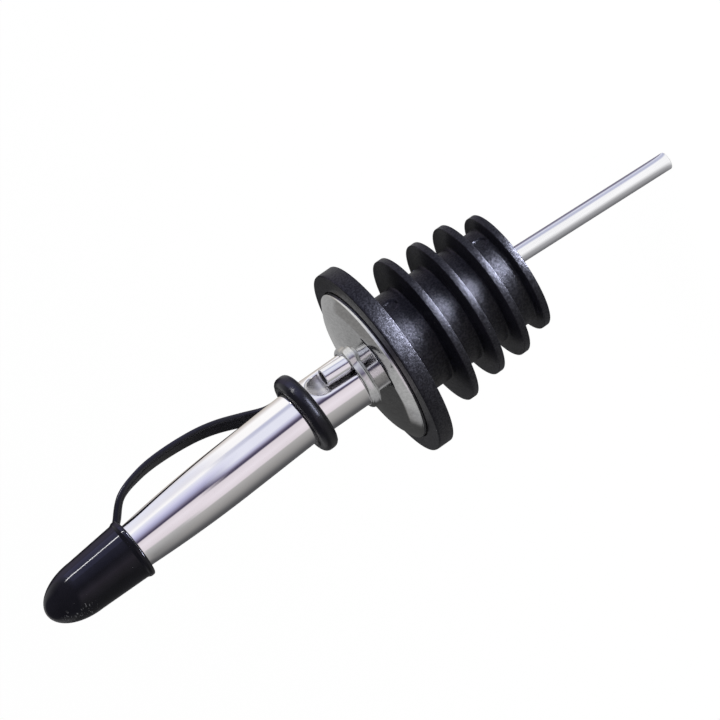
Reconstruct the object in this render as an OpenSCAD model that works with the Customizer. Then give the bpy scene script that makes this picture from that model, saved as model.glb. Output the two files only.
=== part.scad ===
// Bottle pourer: a tapered metal spout with a vent tube, held in a finned rubber cork,
// with a soft dust cap that a strap and a ring keep on the spout.
// The origin is the centre of the flange's underside, which sits on the lip of a bottle.
// +Z runs along the cork towards the spout. The spout leans to -X, and the vent's stub lies on the
// other side of it, turned a little towards -Y.

/* [Spout] */
// Outer diameter of the straight part of the spout
spout_d = 9; // [8.4:0.1:9.6]
// Wall of the spout
spout_wall = 0.4; // [0.3:0.05:0.6]
// Height of the bend above the flange's underside
bend_z = 15.8; // [15.6:0.1:18]
// Lean of the spout above the bend, in degrees
lean = 3.3; // [1:0.1:5]
// Radius of the bend
bend_r = 14; // [10:1:24]
// Length above the bend that keeps the full diameter
straight_len = 14.2; // [10:0.1:20]
// Length of the curved taper
taper_len = 18.5; // [14:0.5:24]
// Length of the nose, which the cap covers
nose_len = 13; // [11:0.5:16]
// Diameter of the spout where the nose starts
nose_d = 7.44; // [7.2:0.02:7.8]
// Diameter of the spout at its tip
tip_d = 7; // [6.6:0.05:7.1]
// Slant of the cut across the tip, in degrees
tip_slant = 20; // [0:1:30]
// Height of the spout's lower end
spout_foot_z = -0.5; // [-0.8:0.1:-0.2]

/* [Vent tube] */
// Outer diameter of the vent tube
vent_d = 2.9; // [2.6:0.1:3.2]
// Wall of the vent tube
vent_wall = 0.35; // [0.25:0.05:0.5]
// Distance of the vent tube from the cork's axis, at the flange's underside
vent_offset = 3.56; // [3.44:0.02:3.64]
// Direction of the vent tube round the cork's axis, in degrees
vent_azimuth = -30; // [-45:1:0]
// Depth of the vent tube's free end, which lies on the cork's axis
vent_below = 53.6; // [45:0.2:60]
// Height of the stub's open end
vent_above = 11.7; // [10.6:0.1:12]
// Room beside the stub in the spout's pressed groove
groove_side = 1.05; // [0.8:0.05:1.2]
// Room between the groove and the end of the stub
groove_end = 0.4; // [0.2:0.1:0.8]
// Slope of the groove's end, in degrees from the tube
groove_ramp = 46; // [40:1:60]
// Height of the solder that seals the groove
seal_z = 3.4; // [2:0.1:4]
// Depth of that solder
seal_h = 2; // [1:0.1:2.4]

/* [Collar] */
// Diameter of the collar plate
plate_d = 26.5; // [24:0.1:28]
// Thickness of the collar plate
plate_t = 0.6; // [0.4:0.05:0.8]
// Height of the plate's rim
plate_rim_z = 3.8; // [3.6:0.05:4.2]
// Height of the plate at the lip
plate_top_z = 6.4; // [6:0.1:7]
// Depth of the turned-down rim
plate_skirt = 1.1; // [0.8:0.1:1.6]
// Radius of the half-round rolled lip
lip_r = 0.7; // [0.5:0.05:0.8]
// How far the lip stands out from the spout
lip_out = 0.6; // [0.4:0.05:0.7]
// Wall of the neck that holds the spout
neck_wall = 0.5; // [0.4:0.05:0.7]
// Depth of the neck under the flange's underside
neck_below = 1; // [0.6:0.1:3]

/* [Cork] */
// Diameter of the flange
flange_d = 32.4; // [30:0.2:36]
// Thickness of the flange at its edge
flange_t = 3.3; // [3:0.1:3.4]
// Rounding of the flange's edge
flange_round = 0.5; // [0.3:0.1:1.4]
// Diameter of the cork's body
hub_d = 16.8; // [16.2:0.1:18]
// Diameter of the first fin, next to the flange
fin_1_d = 25.8; // [24:0.1:27]
// Diameter of the second fin
fin_2_d = 23.8; // [22:0.1:25]
// Diameter of the third fin
fin_3_d = 23.4; // [22:0.1:25]
// Diameter of the last fin
fin_4_d = 20.4; // [19.5:0.1:22]
// Depth of the first fin's lower face
fin_1_z = 7.35; // [6.5:0.05:8]
// Depth of the second fin's lower face
fin_2_z = 13.05; // [12:0.05:13.5]
// Depth of the third fin's lower face
fin_3_z = 18.05; // [17:0.05:18.5]
// Depth of the last fin's lower face, where the cork ends
fin_4_z = 23.1; // [22.4:0.05:26]
// Thickness of a fin at its rim
fin_rim_t = 1.2; // [0.9:0.05:1.4]
// Thickness of a fin at the body
fin_root_t = 2; // [1.5:0.1:2.4]
// Rounding of a fin's rim
fin_round = 0.15; // [0.1:0.05:0.4]
// Diameter of the moulding marks on the body
mark_d = 2.4; // [1.6:0.1:2.8]
// Depth of the moulding marks
mark_depth = 0.35; // [0.2:0.05:0.6]

/* [Stem] */
// Wall of the stem
stem_wall = 0.5; // [0.4:0.05:0.7]
// Diameter of the flare that holds the cork
flare_d = 14; // [12.6:0.1:15]
// Thickness of the flare
flare_t = 0.6; // [0.4:0.05:1]

/* [Cap and tether] */
// Length of the nose inside the cap
cap_cover = 12.5; // [10:0.1:12.8]
// Length of the cap beyond the tip
cap_beyond = 4.3; // [3.6:0.1:6]
// Depth of the free space in the cap beyond the tip
cap_room = 1.8; // [0.8:0.1:2]
// Diameter of the cap's lip
cap_lip_d = 9.9; // [9.6:0.05:10.4]
// Length of the cap's lip
cap_lip_h = 1.1; // [0.8:0.1:1.6]
// Diameter of the cap behind its lip
cap_d = 9.3; // [9:0.05:9.5]
// Diameter of the cap where its round end starts
cap_end_d = 8.4; // [8.2:0.05:8.8]
// Length of the cap's round end
cap_dome = 5.5; // [4:0.1:6]
// Radial thickness of the tether ring
ring_t = 2.2; // [1.6:0.1:2.6]
// Length of the tether ring along the spout
ring_h = 2.7; // [2.6:0.1:3.2]
// Width of the strap
strap_w = 2.4; // [1.8:0.1:3]
// Thickness of the strap
strap_t = 1.2; // [0.9:0.05:1.4]
// How far the strap bows out between its ends
strap_bow = 2.4; // [1.5:0.1:3.5]
// Depth of the strap's turn under the cap's mouth
strap_turn_drop = 3.2; // [2.8:0.1:4]
// Distance of the strap's turn from the cap's lip
strap_turn_out = 2.85; // [2.4:0.05:3.2]

/* [Clearances] */
// Gap of the press fits
fit_gap = 0.02; // [0.01:0.01:0.04]
// Gap between cork and metal
cork_gap = 0.05; // [0.02:0.01:0.1]
// Gap between the vent tube and the groove's floor
groove_floor = 0.1; // [0.05:0.05:0.3]
// Running gap of the tether ring on the spout
ring_gap = 0.08; // [0.06:0.01:0.1]
// Gap of the cap on the nose
cap_gap = 0.05; // [0.03:0.01:0.1]
// Gap between the strap and the cap's tab
strap_gap = 0.1; // [0.05:0.05:0.3]

/* [Hidden] */
$fn = 64;
// Radii of the spout along its tip axis
spout_r = spout_d / 2;
nose_r = nose_d / 2;
tip_r = tip_d / 2;
bend_half = bend_r * tan(lean / 2);
// Lap and fine step where the bend runs into the straight parts, under the ring
bend_lap = 0.3;
bend_step = 0.03;
taper_z = bend_z + straight_len;
nose_z = taper_z + taper_len;
tip_z = nose_z + nose_len;
taper_steps = 16;
// Overlap that carries a cut clear through a face
over = 1;

// The vent tube's line runs from its free end on the axis to the groove
vent_r = vent_d / 2;
vent_lean = atan(vent_offset / vent_below);
groove_r = vent_r + groove_side;
groove_shift = groove_side - groove_floor;
groove_top = vent_above + groove_end;
groove_ramp_len = 2 * spout_d;
// Hole for the vent tube in the collar, and the lower end of the lip that stands round it
vent_hole_r = vent_r + fit_gap;
vent_lip_low = plate_top_z - plate_t;
// Notches that let the vent tube through the sleeves in the cork
notch_r = vent_r + cork_gap;
notch_low = -1.2;
notch_out = 2.4;

// Each sleeve sits on the one inside it
neck_in = spout_r + fit_gap;
neck_out = neck_in + neck_wall;
stem_in = neck_out + fit_gap;
stem_out = stem_in + stem_wall;
bore_r = stem_out + cork_gap;
bead_r = spout_r + lip_out;
// The lip's roll sinks a little into the plate
lip_sink = 0.05;
bead_z = plate_top_z + lip_r - lip_sink;

// The plate is a cone from its rim up to the lip
plate_r = plate_d / 2;
plate_slope = (plate_top_z - plate_rim_z) / (plate_r - bead_r);
plate_drop = plate_t * sqrt(1 + plate_slope * plate_slope);
plate_edge = 0.35;
skirt_in = plate_r - plate_t;
skirt_z = plate_rim_z - plate_skirt;
stem_top = plate_under(stem_out) - cork_gap;

// Cork
flange_r = flange_d / 2;
hub_r = hub_d / 2;
fin_ds = [fin_1_d, fin_2_d, fin_3_d, fin_4_d];
fin_zs = [fin_1_z, fin_2_z, fin_3_z, fin_4_z];
mark_azimuth = -24;
mark_zs = [-3, (-fin_3_z - fin_4_z + fin_rim_t) / 2];
flare_r = flare_d / 2;

// Cap, in heights along the tip axis
cap_z = tip_z - cap_cover;
cap_end_z = tip_z + cap_beyond;
cap_bevel = 0.35;
dome_steps = 18;

// Ring and strap, in heights along the tip axis
ring_in = spout_r + ring_gap;
ring_mid = ring_in + ring_t / 2;
ring_flat = ring_h - ring_t;
strap_chamfer = strap_t / 4;
strap_steps = 3;
// How far each tab's end stands out of its ring or cap, along the spout and away from it
ring_tab_rise = 0.4;
ring_tab_out = 0.35;
cap_tab_drop = 0.3;
cap_tab_out = 0.15;
strap_ring_az = 70;
strap_cap_az = 34;
// Ends of the strap and its turn under the cap: height, distance and azimuth about the tip axis
ring_tab = [bend_z + ring_h / 2 + ring_tab_rise, ring_mid + ring_tab_out, strap_ring_az];
cap_tab = [cap_z - cap_tab_drop, cap_lip_d / 2 + cap_tab_out, strap_cap_az];
cap_turn = [cap_z - strap_turn_drop, cap_lip_d / 2 + strap_turn_out, strap_cap_az];
// Places of the strap on its way to that turn: shares of the rise, of the bow and of the azimuth
strap_shares = [[0.093, 0.25, 0], [0.214, 0.41, 0.17], [0.354, 0.72, 0.36], [0.496, 0.95, 0.5],
    [0.686, 0.98, 0.67], [0.846, 0.74, 0.81]];
strap_arch = [for (s = strap_shares) [
    ring_tab[0] + s[0] * (cap_turn[0] - ring_tab[0]),
    ring_tab[1] + s[0] * (cap_turn[1] - ring_tab[1]) + s[1] * strap_bow,
    ring_tab[2] + s[2] * (cap_turn[2] - ring_tab[2])]];
tab_len = 1.3;

// Height of the collar plate's upper and lower faces at radius r
function plate_over(r) = plate_rim_z + (plate_r - r) * plate_slope;
function plate_under(r) = plate_over(r) - plate_drop;

// Outer radius of the spout at a height along the tip axis
function spout_radius(z) = z < taper_z ? spout_r
    : z < nose_z ? spout_r - (spout_r - nose_r) * pow((z - taper_z) / taper_len, 2)
    : nose_r - (nose_r - tip_r) * (z - nose_z) / nose_len;

// A place given by height, distance and azimuth about the tip axis, in the tip's own frame
function on_axis(p) = [p[1] * cos(p[2]), p[1] * sin(p[2]), p[0]];

function unit(v) = v / norm(v);

// Smooth curve through the points of a route, one piece at a time
function curve(a, b, c, d, t) = 0.5 * (2 * b + (c - a) * t + (2 * a - 5 * b + 4 * c - d) * t * t
    + (3 * b - 3 * c + d - a) * t * t * t);

function smooth(route) = let (last = len(route) - 1) concat(
    [for (i = [0 : last - 1], k = [0 : strap_steps - 1])
        curve(route[max(i - 1, 0)], route[i], route[i + 1], route[min(i + 2, last)], k / strap_steps)],
    [route[last]]);

// Leans children over at the bend, as the upper part of the spout is
module on_tip() {
    translate([0, 0, bend_z]) rotate([0, -lean, 0]) translate([0, 0, -bend_z]) children();
}

// Stands children on the vent tube's own line, with their origin level with the flange
module on_vent() {
    rotate([0, 0, vent_azimuth]) translate([vent_offset, 0, 0]) rotate([0, vent_lean, 0]) children();
}

// Room for the vent tube in a sleeve round the spout, open to the outside, up to a height
module vent_notch(r, top) {
    on_vent() translate([0, 0, notch_low]) {
        cylinder(h = top - notch_low, r = r);
        translate([0, -r, 0]) cube([notch_out, 2 * r, top - notch_low]);
    }
}

// The spout's outside, or its bore when inset by the wall
module spout_form(inset, extra) {
    r = spout_r - inset;
    foot = spout_foot_z - extra;
    bend_start = bend_z - bend_half;
    bend_end = bend_z + bend_half;
    taper = [for (i = [0 : taper_steps]) taper_z + taper_len * i / taper_steps];
    rotate_extrude() polygon([[0, foot], [r, foot], [r, bend_start - bend_lap],
        [r - bend_step, bend_start + bend_lap], [0, bend_start + bend_lap]]);
    translate([-bend_r, 0, bend_start]) rotate([90, 0, 0]) rotate_extrude(angle = lean)
        translate([bend_r, 0]) circle(r);
    on_tip() rotate_extrude() polygon(concat(
        [[0, bend_end - bend_lap], [r - bend_step, bend_end - bend_lap], [r, bend_end + bend_lap]],
        [for (z = taper) [spout_radius(z) - inset, z]],
        [[tip_r - inset, tip_z + extra], [0, tip_z + extra]]));
}

// The pressed groove that the stub lies in, with a sloping end
module groove_form(r) {
    on_vent() translate([groove_shift, 0, 0]) {
        translate([0, 0, -spout_d]) cylinder(h = spout_d + groove_top, r = r);
        translate([0, 0, groove_top]) sphere(r);
        translate([0, 0, groove_top]) rotate([0, groove_ramp, 0]) cylinder(h = groove_ramp_len, r = r);
    }
}

// Slanted cut across the tip, with the long side away from the lean
module tip_cut() {
    on_tip() translate([tip_r, 0, tip_z]) rotate([0, -tip_slant, 0])
        translate([-2 * spout_d, -spout_d, 0]) cube([3 * spout_d, 2 * spout_d, spout_d]);
}

module spout_tube() {
    color("silver") difference() {
        spout_form(0, 0);
        groove_form(groove_r);
        difference() {
            spout_form(spout_wall, over);
            groove_form(groove_r + spout_wall);
        }
        tip_cut();
    }
}

// The vent tube's line, from the free end to the stub's open end
module vent_form(r, extra) {
    on_vent() translate([0, 0, -vent_below / cos(vent_lean) - extra])
        cylinder(h = (vent_below + vent_above) / cos(vent_lean) + 2 * extra, r = r);
}

module vent_tube() {
    color("gainsboro") difference() {
        vent_form(vent_r, 0);
        vent_form(vent_r - vent_wall, over);
    }
}

module vent_seal() {
    color("darkgray") difference() {
        intersection() {
            translate([0, 0, seal_z]) cylinder(h = seal_h, r = spout_r);
            groove_form(groove_r - fit_gap);
        }
        vent_form(vent_r + fit_gap, 0);
    }
}

// Both rolled lips are full rolls here, and the tubes' holes cut them down to half-rounds
module collar_plate() {
    neck_core = neck_in - neck_wall;
    color("silver") difference() {
        union() {
            rotate_extrude() polygon([[neck_core, -neck_below], [neck_out, -neck_below],
                [neck_out, plate_under(neck_out)], [skirt_in, plate_under(skirt_in)], [skirt_in, skirt_z],
                [plate_r, skirt_z], [plate_r, plate_rim_z - plate_edge],
                [plate_r - plate_edge, plate_over(plate_r - plate_edge)], [neck_out, plate_over(neck_out)],
                [neck_out, bead_z], [neck_core, bead_z]]);
            rotate_extrude() translate([bead_r - lip_r, bead_z]) circle(lip_r);
            on_vent() rotate_extrude() {
                translate([0, vent_lip_low]) square([vent_hole_r + neck_wall, bead_z - vent_lip_low]);
                translate([vent_r + lip_out - lip_r, bead_z]) circle(lip_r);
            }
        }
        translate([0, 0, -neck_below - over]) cylinder(h = neck_below + bead_z + 2 * over, r = neck_in);
        vent_form(vent_hole_r, over);
        vent_notch(vent_hole_r, vent_lip_low - plate_t);
    }
}

module stem_tube() {
    color("lightgray") difference() {
        rotate_extrude() {
            translate([stem_in, -fin_4_z]) square([stem_wall, fin_4_z + stem_top]);
            translate([stem_in, -fin_4_z]) square([flare_r - stem_in, flare_t]);
        }
        vent_notch(notch_r, stem_top + over);
    }
}

// One fin, with its lower face at height z
module fin(r, z) {
    swell = (fin_root_t - fin_rim_t) / 2;
    rim = r - fin_round;
    rotate_extrude() {
        polygon([[bore_r + over, z], [rim, z], [rim, z + fin_rim_t], [hub_r, z + fin_rim_t + swell],
            [bore_r + over, z + fin_rim_t + swell]]);
        translate([rim, z + fin_round]) square([fin_round, fin_rim_t - 2 * fin_round]);
        translate([rim, z + fin_round]) circle(fin_round);
        translate([rim, z + fin_rim_t - fin_round]) circle(fin_round);
    }
    if (z > -fin_4_z) rotate_extrude()
        polygon([[bore_r + over, z], [bore_r + over, z - swell], [hub_r, z - swell], [rim, z]]);
}

// The flange, with a seat under the collar plate and a channel for its turned-down rim
module flange() {
    edge = flange_r - flange_round;
    rim_in = skirt_in - cork_gap;
    rim_out = plate_r + cork_gap;
    rotate_extrude() difference() {
        union() {
            polygon([[bore_r, -over], [bore_r, plate_under(bore_r) - cork_gap],
                [rim_in, plate_under(rim_in) - cork_gap], [rim_out, plate_rim_z - plate_edge],
                [edge, flange_t], [edge, 0], [hub_r, 0], [hub_r, -over]]);
            translate([edge, flange_round]) square([flange_round, flange_t - 2 * flange_round]);
            translate([edge, flange_round]) circle(flange_round);
            translate([edge, flange_t - flange_round]) circle(flange_round);
        }
        translate([rim_in, skirt_z - cork_gap]) square([rim_out - rim_in, plate_rim_z]);
    }
}

module cork_stopper() {
    color("#1c1b22") difference() {
        union() {
            flange();
            rotate_extrude() translate([bore_r, -fin_4_z]) square([hub_r - bore_r, fin_4_z]);
            for (i = [0 : len(fin_ds) - 1]) fin(fin_ds[i] / 2, -fin_zs[i]);
        }
        translate([0, 0, -fin_4_z - over]) cylinder(h = over + flare_t + cork_gap, r = flare_r + cork_gap);
        for (z = mark_zs) rotate([0, 0, mark_azimuth]) translate([hub_r - mark_depth, 0, z])
            rotate([0, 90, 0]) cylinder(h = over, d = mark_d);
    }
}

// A tab whose end face is square to the strap that leaves it, from one place towards the next
module tab(from, towards) {
    slope = atan2(towards[1] - from[1], towards[0] - from[0]);
    on_tip() rotate([0, 0, from[2]]) translate([from[1], 0, from[0]]) rotate([0, slope, 0])
        translate([-strap_t / 2, -strap_w / 2, -tab_len]) cube([strap_t, strap_w, tab_len]);
}

module tether_ring() {
    color("#17161c") {
        on_tip() rotate_extrude() {
            for (side = [-1, 1]) translate([ring_mid, bend_z + side * ring_flat / 2]) circle(ring_t / 2);
            translate([ring_in, bend_z - ring_flat / 2]) square([ring_t, ring_flat]);
        }
        tab(ring_tab, strap_arch[0]);
    }
}

// Points of the strap's section round a place on its route
function strap_section(p, along) = let (
        side = unit(cross(along, [p[0], p[1], 0])),
        out = cross(side, along),
        w = strap_w / 2,
        t = strap_t / 2,
        c = strap_chamfer,
        outline = [[w, t - c], [w - c, t], [c - w, t], [-w, t - c], [-w, c - t], [c - w, -t], [w - c, -t],
            [w, c - t]])
    [for (q = outline) p + q[0] * side + q[1] * out];

module cap_strap() {
    start = on_axis(ring_tab);
    end = on_axis(cap_tab);
    first = unit(on_axis(strap_arch[0]) - start);
    last = unit(end - on_axis(cap_turn));
    arch = [for (p = strap_arch) on_axis(p)];
    route = smooth(concat([start + fit_gap * first], arch, [on_axis(cap_turn), end - strap_gap * last]));
    count = len(route);
    sides = 8;
    rings = [for (i = [0 : count - 1]) strap_section(route[i],
        i == 0 ? first : i == count - 1 ? last : unit(route[i + 1] - route[i - 1]))];
    faces = concat(
        [[for (k = [0 : sides - 1]) k]],
        [for (i = [0 : count - 2], k = [0 : sides - 1])
            let (a = i * sides + k, b = i * sides + (k + 1) % sides)
            each [[a, a + sides, b], [b, a + sides, b + sides]]],
        [[for (k = [0 : sides - 1]) count * sides - 1 - k]]);
    color("#17161c") on_tip() polyhedron([for (ring = rings) each ring], faces);
}

module dust_cap() {
    rim_r = cap_lip_d / 2;
    end_r = cap_end_d / 2;
    dome_z = cap_end_z - cap_dome;
    mouth_r = spout_radius(cap_z) + cap_gap;
    seat_r = spout_radius(tip_z) + cap_gap;
    color("#17161c") {
        difference() {
            on_tip() rotate_extrude() polygon(concat(
                [[0, cap_z], [rim_r - cap_bevel, cap_z], [rim_r, cap_z + cap_bevel],
                    [rim_r, cap_z + cap_lip_h - cap_bevel], [cap_d / 2, cap_z + cap_lip_h]],
                [for (i = [0 : dome_steps]) let (a = 90 * i / dome_steps)
                    [end_r * cos(a), dome_z + cap_dome * sin(a)]]));
            on_tip() rotate_extrude() polygon([[0, cap_z - over], [mouth_r, cap_z - over], [mouth_r, cap_z],
                [seat_r, tip_z], [seat_r, tip_z + cap_room / 2], [seat_r / 2, tip_z + cap_room],
                [0, tip_z + cap_room]]);
        }
        difference() {
            tab(cap_tab, cap_turn);
            on_tip() cylinder(h = tip_z, r = mouth_r);
        }
    }
}

spout_tube();
vent_tube();
vent_seal();
collar_plate();
stem_tube();
cork_stopper();
tether_ring();
cap_strap();
dust_cap();
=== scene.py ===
import math

import bmesh
import bpy
import numpy as np
from bpy.props import FloatProperty, FloatVectorProperty, PointerProperty
from bpy.types import Operator, Panel, PropertyGroup
from mathutils import Matrix, Vector


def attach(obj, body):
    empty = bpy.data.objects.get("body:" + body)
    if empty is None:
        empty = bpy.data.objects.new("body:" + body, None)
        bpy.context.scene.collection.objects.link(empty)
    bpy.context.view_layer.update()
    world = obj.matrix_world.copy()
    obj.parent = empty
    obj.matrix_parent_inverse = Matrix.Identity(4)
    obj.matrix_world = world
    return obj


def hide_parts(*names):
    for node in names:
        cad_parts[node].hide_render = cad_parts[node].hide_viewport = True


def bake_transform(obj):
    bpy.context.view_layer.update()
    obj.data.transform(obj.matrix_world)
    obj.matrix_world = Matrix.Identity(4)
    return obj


bl_info = {
    "name": "Bottle Pourer",
    "version": (1, 0, 0),
    "blender": (4, 5, 0),
    "location": "3D View > Sidebar > Pourer",
    "description": "Dresses the packed bottle pourer and sets up its studio",
    "category": "Object",
}

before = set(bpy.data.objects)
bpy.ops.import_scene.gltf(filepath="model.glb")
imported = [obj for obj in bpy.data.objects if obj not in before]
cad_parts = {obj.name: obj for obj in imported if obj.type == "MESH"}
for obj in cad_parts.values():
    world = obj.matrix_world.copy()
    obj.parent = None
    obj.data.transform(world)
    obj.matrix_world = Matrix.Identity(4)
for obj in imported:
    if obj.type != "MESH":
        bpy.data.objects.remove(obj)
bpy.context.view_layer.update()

MM = 0.001
ROUND_STEPS = 5
SHARP_ANGLE = math.radians(38)
SLIP = 0.02 * MM
SEAT_GAP = 0.05 * MM
PLATE_NECK = 5.1 * MM
GROOVE_LOW, GROOVE_HIGH = 6.0 * MM, 15.6 * MM
HUB_ROWS = 22
MARK_HEIGHTS = (-3.0 * MM, -19.975 * MM)
NECK_REACH = 7.0 * MM
DUST_COLOUR = (0.4, 0.4, 0.42)
COLOUR_MIX_INPUTS, COLOUR_MIX_OUTPUT = (0, 6, 7), 2


# Settings

def length(name, description, size_mm):
    """Returns a length setting whose default is given in millimetres."""
    return FloatProperty(name=name, description=description, default=size_mm * MM, min=0.0,
                         unit='LENGTH', subtype='DISTANCE', precision=5)


def angle(name, description, degrees):
    """Returns an angle setting whose default is given in degrees."""
    return FloatProperty(name=name, description=description, default=math.radians(degrees),
                         unit='ROTATION', subtype='ANGLE')


def tint(name, description, colour):
    """Returns a colour setting."""
    return FloatVectorProperty(name=name, description=description, default=colour, size=3,
                               min=0.0, max=1.0, subtype='COLOR')


def wattage(name, description, watts):
    """Returns a setting for the power of a light."""
    return FloatProperty(name=name, description=description, default=watts, min=0.0, unit='POWER')


class SpoutSettings(PropertyGroup):
    diameter: length("Diameter", "Outside diameter of the spout below its taper", 9.0)
    wall: length("Wall", "Thickness of the spout's sheet", 0.4)
    foot_depth: length("Foot", "Depth of the spout's lower end below the flange's underside", 0.5)
    bend_height: length("Bend height", "Height of the bend under the ring", 15.8)
    lean: angle("Lean", "Angle by which the spout leans away from the vent", 3.3)
    straight: length("Straight", "Length of the straight part above the bend", 14.2)
    taper: length("Taper", "Length of the curved taper", 18.5)
    nose: length("Nose", "Length of the nose inside the cap", 13.0)
    nose_diameter: length("Nose diameter", "Diameter where the nose starts", 7.44)
    tip_diameter: length("Tip diameter", "Diameter at the tip", 7.0)
    tip_slant: angle("Tip slant", "Slant of the cut across the tip", 20.0)
    groove_radius: length("Groove radius", "Radius of the groove pressed for the vent", 2.75)
    groove_shift: length("Groove shift", "Distance of the groove's axis outside the vent's", 1.2)
    groove_turn: angle("Groove turn", "Turn of the groove's middle away from the vent", -3.0)
    groove_top: length("Groove top", "Height where the groove starts to run out", 12.0)
    groove_ramp: angle("Groove ramp", "Angle from upright at which the groove runs out", 49.8)
    fold: length("Fold", "Softness of the folds along the groove", 0.28)
    colour: tint("Steel", "Colour of the polished spout", (0.90, 0.885, 0.89))


class VentSettings(PropertyGroup):
    diameter: length("Diameter", "Outside diameter of the vent tube", 2.9)
    wall: length("Wall", "Thickness of the vent tube's wall", 0.35)
    azimuth: angle("Azimuth", "Direction of the vent round the cork's axis", -30.0)
    offset: length("Offset", "Distance of the vent from the axis at the flange", 3.56)
    tilt: angle("Tilt", "Angle between the vent and the cork's axis", 3.80)
    below: length("Below", "Length of the vent below the flange", 53.9)
    above: length("Above", "Length of the stub above the flange's underside", 11.4)
    colour: tint("Drawn steel", "Colour of the drawn tubes", (0.86, 0.86, 0.875))


class CollarSettings(PropertyGroup):
    diameter: length("Diameter", "Diameter of the collar plate", 26.3)
    sheet: length("Sheet", "Thickness of the pressed plate", 0.6)
    rim_height: length("Rim height", "Height of the plate's rim", 3.5)
    crease_height: length("Crease height", "Height of the crease inside the rim band", 4.55)
    top_height: length("Top height", "Height of the plate where it meets the lip", 5.92)
    skirt: length("Skirt", "Depth of the plate's turned-down rim", 0.75)
    band: length("Rim band", "Width of the bevelled band along the rim", 2.0)
    colour: tint("Plate steel", "Colour of the pressed plate", (0.62, 0.62, 0.62))


class StemSettings(PropertyGroup):
    bore: length("Bore", "Inside diameter of the stem", 10.08)
    diameter: length("Diameter", "Outside diameter of the stem", 11.08)
    flare_diameter: length("Flare diameter", "Diameter of the flare under the cork", 14.0)
    flare_height: length("Flare height", "Thickness of the flare", 0.6)
    top_height: length("Top height", "Height of the stem's top, under the plate", 5.1)


class CorkSettings(PropertyGroup):
    flange_diameter: length("Flange diameter", "Diameter of the flange", 32.2)
    flange_height: length("Flange height", "Thickness of the flange at its rim", 2.75)
    flange_round: length("Flange edge", "Rounding of the flange's edge", 0.5)
    hub_diameter: length("Body diameter", "Diameter of the body between the fins", 16.8)
    fin_diameters: FloatVectorProperty(
        name="Fin diameters", description="Diameters of the fins, from the flange down", size=4,
        default=(25.55 * MM, 23.8 * MM, 23.4 * MM, 20.4 * MM), unit='LENGTH', precision=5)
    fin_depths: FloatVectorProperty(
        name="Fin depths", description="Depths of the fins' lower faces below the flange", size=4,
        default=(7.35 * MM, 13.05 * MM, 18.05 * MM, 23.1 * MM), unit='LENGTH', precision=5)
    fin_edge: length("Fin edge", "Thickness of a fin at its rim", 1.2)
    fin_round: length("Fin rounding", "Rounding of the fins' rims", 0.15)
    fin_swell: length("Fin swell", "Growth of a fin on each side at its root", 0.4)
    fillet: length("Root fillet", "Rounding where a fin meets the body", 0.35)
    mark_diameter: length("Mark diameter", "Diameter of the two shallow moulding marks", 2.4)
    mark_depth: length("Mark depth", "Depth of the moulding marks", 0.22)
    mark_azimuth: angle("Mark azimuth", "Direction of the moulding marks", -24.0)
    colour: tint("Rubber", "Colour of the grainy rubber", (0.012, 0.0115, 0.016))


class TetherSettings(PropertyGroup):
    ring_height: length("Ring height", "Height of the ring", 2.7)
    ring_shift: length("Ring shift", "Distance of the ring's middle above the bend", 0.2)
    ring_wall: length("Ring wall", "Thickness of the ring", 2.2)
    ring_gap: length("Ring gap", "Gap between ring and spout", 0.08)
    ring_round: length("Ring edge", "Rounding of the ring's edges", 1.08)
    strap_width: length("Strap width", "Width of the strap", 2.4)
    strap_thickness: length("Strap thickness", "Thickness of the strap", 1.1)
    colour: tint("Soft black", "Colour of the glossy soft moulding", (0.010, 0.0095, 0.014))


class CapSettings(PropertyGroup):
    mouth_height: length("Mouth", "Height of the cap's mouth", 49.0)
    lip_diameter: length("Lip diameter", "Diameter of the cap's lip", 10.05)
    lip_height: length("Lip height", "Height of the cap's lip", 1.1)
    diameter: length("Diameter", "Diameter of the cap above its lip", 9.5)
    end_diameter: length("End diameter", "Diameter where the dome starts", 8.6)
    end_height: length("End", "Height of the cap's end", 65.8)
    dome: length("Dome", "Height of the dome", 7.3)
    wall_gap: length("Cap gap", "Gap between cap and nose", 0.04)


class StudioSettings(PropertyGroup):
    floor_colour: tint("Floor", "Colour of the floor", (0.95, 0.95, 0.95))
    key_power: wattage("Key light", "Power of the key light on the cork", 36.0)
    sheen_power: wattage("Sheen light", "Power of the low light on the cork's body", 0.85)
    ring_power: wattage("Ring light", "Power of the wide light on the ring", 6.0)
    lip_power: wattage("Lip light", "Power of the wide light on the cap's lip", 40.0)
    strip_power: wattage("Strip light", "Power of the narrow side light", 0.2)
    side_power: wattage("Side light", "Power of the bluish side light", 0.3)
    top_power: wattage("Top light", "Power of the soft light overhead", 1.2)
    fill: FloatProperty(name="Fill", description="Level of the light from all round",
                        default=0.25, min=0.0)


# Mesh helpers

def turned(profile, segments, closed=True):
    """Returns a mesh turned about Z from corners of (radius, height, rounding)."""
    bm = bmesh.new()
    corners = [bm.verts.new((r, 0.0, z)) for r, z, _ in profile]
    pairs = list(zip(corners, corners[1:]))
    if closed:
        pairs.append((corners[-1], corners[0]))
    for a, b in pairs:
        bm.edges.new((a, b))
    for size in sorted({corner[2] for corner in profile if corner[2] > 0.0}):
        rounded = [v for v, corner in zip(corners, profile) if corner[2] == size]
        bmesh.ops.bevel(bm, geom=rounded, offset=size, offset_type='OFFSET', segments=ROUND_STEPS,
                        profile=0.5, affect='VERTICES', material=-1)
    bmesh.ops.spin(bm, geom=bm.verts[:] + bm.edges[:], cent=(0, 0, 0), axis=(0, 0, 1),
                   angle=math.tau, steps=segments, use_merge=True)
    clean(bm)
    return bm


def clean(bm):
    """Merges doubled vertices and turns all faces outwards."""
    bmesh.ops.remove_doubles(bm, verts=bm.verts, dist=1e-7)
    bmesh.ops.recalc_face_normals(bm, faces=bm.faces)


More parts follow.
